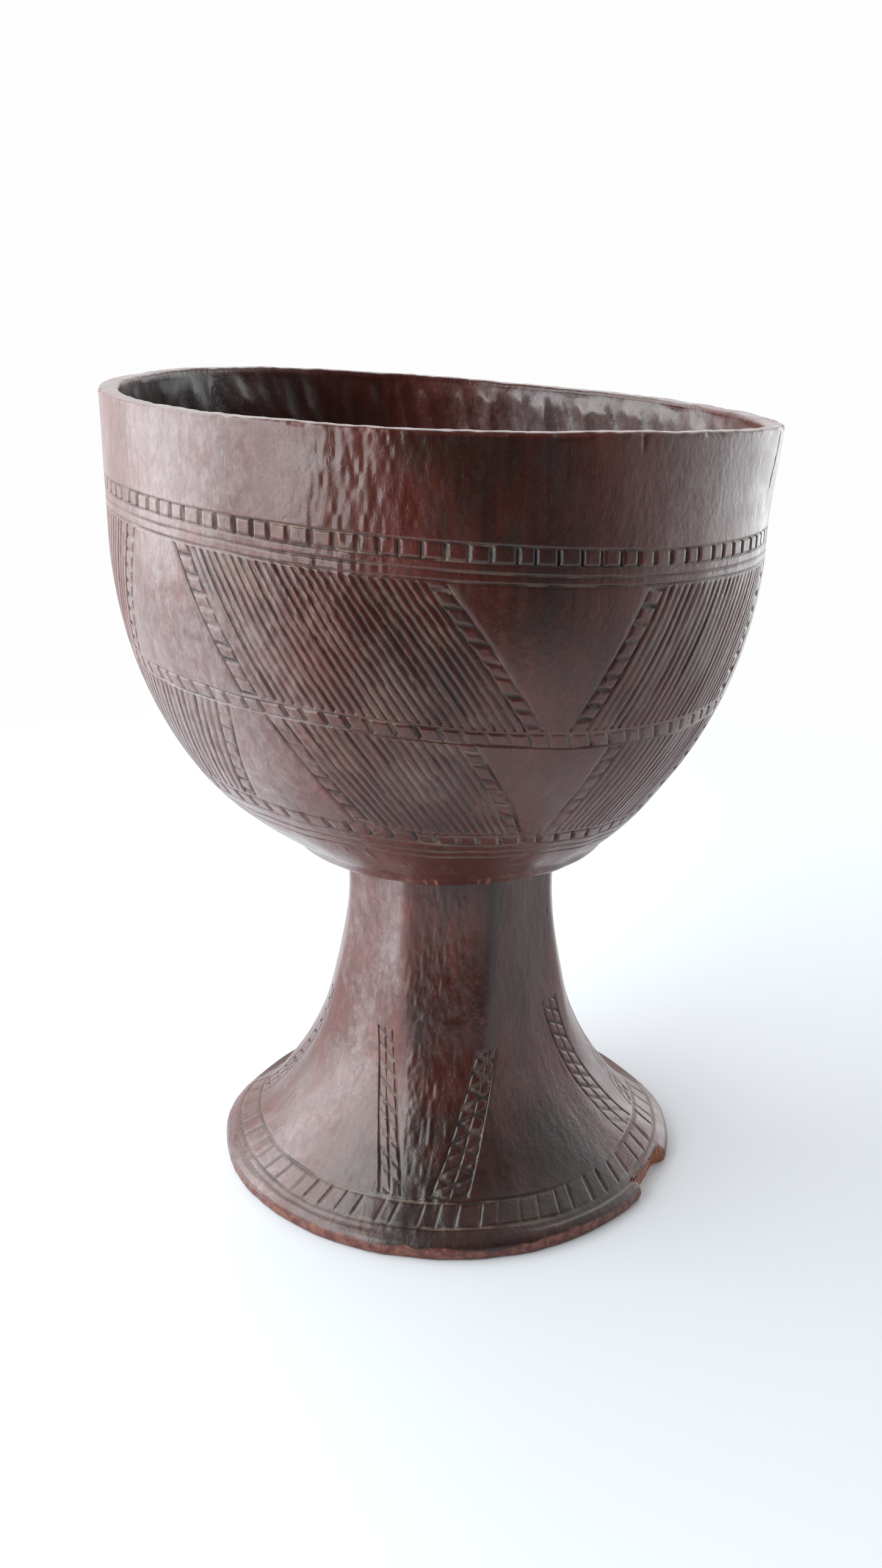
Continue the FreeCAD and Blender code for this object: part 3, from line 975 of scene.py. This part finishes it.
def wood(name, dust_amount):
    """Dark hardwood that has been handled, oiled and smoked for years; its colour also carries painted sheen
    and painted shade, set by the marks on the mesh.
    """
    s = Shading(name)
    tone_and_light_mark, warm_and_sheen_mark, cut, bare = (s.mark(mark) for mark in ("tone_and_painted_light", "warm_and_sheen", "cut", "bare"))

    broad = s.grain((34, 34, 52), 3, 1.0)
    patchy = s.grain((13, 13, 19), 5, 7.0, 0.8)
    mottle = s.grain((3.2, 3.2, 4.6), 4, 11.0, 0.5)
    streak = s.grain((2.4, 2.4, 34), 4, 3.0, 0.15)
    fine = s.grain((0.9, 0.9, 1.2), 3, 41.0)
    fibre = s.grain((0.5, 0.5, 4.2), 3, 5.0)
    speck = s.grain((0.6, 0.6, 1.3), 2, 9.0)

    darkness = s.calc("MULTIPLY_ADD", tone_and_light_mark, 0.36, s.calc("MULTIPLY_ADD", streak, 0.22, broad))
    darkness = s.calc("MULTIPLY_ADD", mottle, 0.30, darkness)
    colour = s.mix(s.fade(darkness, 0.42, 0.98), MAUVE, MAROON)
    # Towards PALE_AND_SHEEN where the tone mark is low: random pale patches, and painted sheen.
    paleness_and_sheen = s.calc("MULTIPLY_ADD", mottle, -0.8, tone_and_light_mark)
    colour = s.mix(s.fade(paleness_and_sheen, -0.5, -1.35, 0.0, 0.8), colour, PALE_AND_SHEEN)
    # Redder by the warm mark, and greyer where it is low, which is partly painted sheen.
    redness = s.calc("MULTIPLY_ADD", warm_and_sheen_mark, 0.30, patchy)
    colour = s.mix(s.fade(redness, 0.50, 0.90, 0.0, 0.5), colour, RED)
    colour = s.mix(s.fade(redness, 0.42, 0.20, 0.0, 0.55), colour, GREY_AND_SHEEN)
    # Near black where darkness is highest: smoke darkening of the wood, and painted shade at the front middle
    # and on the inside's left wall.
    smoke_and_shade = s.calc("MULTIPLY_ADD", patchy, 0.35, darkness)
    colour = s.mix(s.fade(smoke_and_shade, 0.98, 1.42, 0.0, 0.92), colour, SMOKE_AND_SHADE)
    # The streaks, mottle, fine grain and fibres of the wood multiply the colour darker.
    for pattern, low, high, start, end, shadow in (
        (streak, 0.36, 0.66, 0.0, 0.25, (0.50, 0.44, 0.44, 1)),
        (mottle, 0.34, 0.66, 0.38, 0.0, (0.46, 0.42, 0.42, 1)),
        (fine, 0.38, 0.62, 0.28, 0.0, (0.46, 0.42, 0.40, 1)),
        (fibre, 0.30, 0.60, 0.22, 0.0, (0.38, 0.34, 0.34, 1)),
    ):
        colour = s.mix(s.fade(pattern, low, high, start, end), colour, shadow, "MULTIPLY")
    colour = s.mix(s.fade(speck, 0.62, 0.74, 0.0, 0.08), colour, DUST)

    # The knife cuts darken towards CUT_DARK with their depth.
    colour = s.mix(s.fade(cut, 0.15, 0.85, 0.0, 0.78), colour, CUT_DARK)
    dusty = s.calc("MULTIPLY", s.fade(s.grain((13, 13, 8), 4, 21.0), 0.44, 0.62), s.fade(cut, 0.2, 0.7))
    colour = s.mix(s.calc("MULTIPLY", dusty, dust_amount), colour, DUST)

    raw = s.mix(s.fade(s.grain((0.9, 0.9, 12), 3, 31.0), 0.35, 0.68), RAW, RAW_PALE)
    worn = s.mix(s.fade(s.grain((2.6, 2.6, 2.2), 4, 35.0), 0.38, 0.60), RAW, MAROON)
    raw = s.mix(s.fade(bare, 0.6, 1.0), worn, raw)
    colour = s.mix(s.fade(bare, 0.05, 0.5), colour, raw)
    s.feed(s.shader.inputs["Base Color"], colour)

    rough = s.fade(s.calc("MULTIPLY_ADD", mottle, 0.6, patchy), 0.50, 1.05, 0.23, 0.42)
    rough = s.calc("MULTIPLY_ADD", cut, 0.22, rough)
    rough = s.calc("ADD", s.fade(tone_and_light_mark, 1.0, 1.6, 0.0, 0.4), rough)
    rough = s.calc("MINIMUM", s.calc("MULTIPLY_ADD", bare, 0.3, rough), 0.95)
    s.feed(s.shader.inputs["Roughness"], rough)

    pores = s.fade(s.grain((0.5, 0.5, 2.2), 2, 17.0), 0.28, 0.46)
    normal = s.bump(pores, 0.10, 0.25)
    normal = s.bump(s.grain((1.5, 1.5, 2.2), 4, 25.0), 0.35, 0.5, normal)
    s.feed(s.shader.inputs["Normal"], normal)
    s.shader.inputs["Specular IOR Level"].default_value = 0.5
    s.shader.inputs["Coat Weight"].default_value = 0.25
    s.shader.inputs["Coat Roughness"].default_value = 0.2
    return s.material


# ---------------------------------------------------------------- floor, light and camera

BACKGROUND = (0.985, 0.985, 0.985, 1)
FLOOR_COLOUR = (0.69, 0.70, 0.72, 1)
FLOOR_FADE = (0.30, 0.62)
FLOOR_RADIUS = 0.7
DOME_RADIUS = 4.0


def make_stage():
    """The pale floor, which fades out into a white dome that only the camera sees."""
    bpy.ops.mesh.primitive_circle_add(vertices=128, radius=FLOOR_RADIUS, fill_type="NGON")
    floor = bpy.context.object
    floor.name = "floor"
    s = Shading("pale_floor")
    s.shader.inputs["Base Color"].default_value = FLOOR_COLOUR
    s.shader.inputs["Roughness"].default_value = 0.9
    length = s.nodes.new("ShaderNodeVectorMath")
    length.operation = "LENGTH"
    s.links.new(s.place, length.inputs[0])
    s.feed(s.shader.inputs["Alpha"], s.fade(length.outputs["Value"], *FLOOR_FADE, 1.0, 0.0))
    floor.data.materials.append(s.material)

    bpy.ops.mesh.primitive_uv_sphere_add(segments=64, ring_count=32, radius=DOME_RADIUS)
    dome = bpy.context.object
    dome.name = "backdrop"
    s = Shading("white_backdrop")
    s.shader.inputs["Base Color"].default_value = (0, 0, 0, 1)
    s.shader.inputs["Specular IOR Level"].default_value = 0.0
    s.shader.inputs["Emission Color"].default_value = BACKGROUND
    s.shader.inputs["Emission Strength"].default_value = 1.0
    dome.data.materials.append(s.material)
    for ray in ("diffuse", "glossy", "transmission", "volume_scatter", "shadow"):
        setattr(dome, "visible_" + ray, False)


DARK_SIDE = (0.09, -0.95, 0.27)
ROOM_FADE = (0.96, -0.25, 0.02, 1.35)
AIM = 0.14
# Name, angle round the bowl, distance, height, size and brightness of each soft light.
WINDOWS = (
    ("window_left", 180.0, 0.65, 0.45, (0.7, 0.9), 3.7),
    ("window_front", 226.0, 0.75, 0.35, (0.4, 0.7), 5.2),
    ("window_right", 33.0, 0.75, 0.2, (0.6, 0.4), 1.7),
    ("ceiling", 100.0, 1.0, 1.3, (1.4, 1.0), 1.6),
)
DAYLIGHT = (0.91, 0.98, 1.0)


def make_light():
    """A white room that is dark on the viewer's side, with soft windows."""
    world = bpy.data.worlds.new("studio")
    bpy.context.scene.world = world
    world.use_nodes = True
    nodes, links = world.node_tree.nodes, world.node_tree.links
    towards_dark = nodes.new("ShaderNodeVectorMath")
    towards_dark.operation = "DOT_PRODUCT"
    towards_dark.inputs[1].default_value = DARK_SIDE
    links.new(nodes.new("ShaderNodeTexCoord").outputs["Generated"], towards_dark.inputs[0])
    depth = nodes.new("ShaderNodeMapRange")
    depth.interpolation_type = "SMOOTHSTEP"
    links.new(towards_dark.outputs["Value"], depth.inputs[0])
    for index, number in enumerate(ROOM_FADE, start=1):
        depth.inputs[index].default_value = number
    background = nodes["Background"]
    background.inputs["Color"].default_value = (0.97, 0.985, 1.0, 1)
    links.new(depth.outputs[0], background.inputs["Strength"])

    for name, azimuth, distance, height, size, brightness in WINDOWS:
        light = bpy.data.lights.new(name, "AREA")
        light.shape = "RECTANGLE"
        light.size, light.size_y = size
        light.energy = brightness * math.pi * size[0] * size[1]
        light.color = DAYLIGHT
        lamp = bpy.data.objects.new(name, light)
        turn = math.radians(azimuth)
        lamp.location = (distance * math.cos(turn), distance * math.sin(turn), height)
        lamp.rotation_euler = (Vector((0, 0, AIM)) - lamp.location).to_track_quat("-Z", "Y").to_euler()
        lamp.visible_camera = False
        bpy.context.scene.collection.objects.link(lamp)
    bpy.context.scene.view_settings.view_transform = "Standard"


CAMERA_PLACE = (0.0014, -0.456, 0.2828)
CAMERA_DOWN = 18.77
CAMERA_ROLL = 0.27
CAMERA_LENS = 33.79


def make_camera():
    """The viewer, a little over the rim and looking down."""
    data = bpy.data.cameras.new("camera")
    data.lens = CAMERA_LENS
    data.clip_start = 0.01
    camera = bpy.data.objects.new("camera", data)
    tilt = Matrix.Rotation(math.radians(90 - CAMERA_DOWN), 4, "X")
    roll = Matrix.Rotation(math.radians(CAMERA_ROLL), 4, "Z")
    camera.matrix_world = Matrix.Translation(CAMERA_PLACE) @ tilt @ roll
    bpy.context.scene.collection.objects.link(camera)
    bpy.context.scene.camera = camera


# ---------------------------------------------------------------- the whole scene

for piece, node, material in (
    (make_cup(), "cup", wood("cup_wood", 0.7)),
    (make_pedestal(), "pedestal", wood("pedestal_wood", 0.4)),
):
    piece.data.materials.append(material)
    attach(piece, "root")
    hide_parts(node)

make_stage()
make_light()
make_camera()
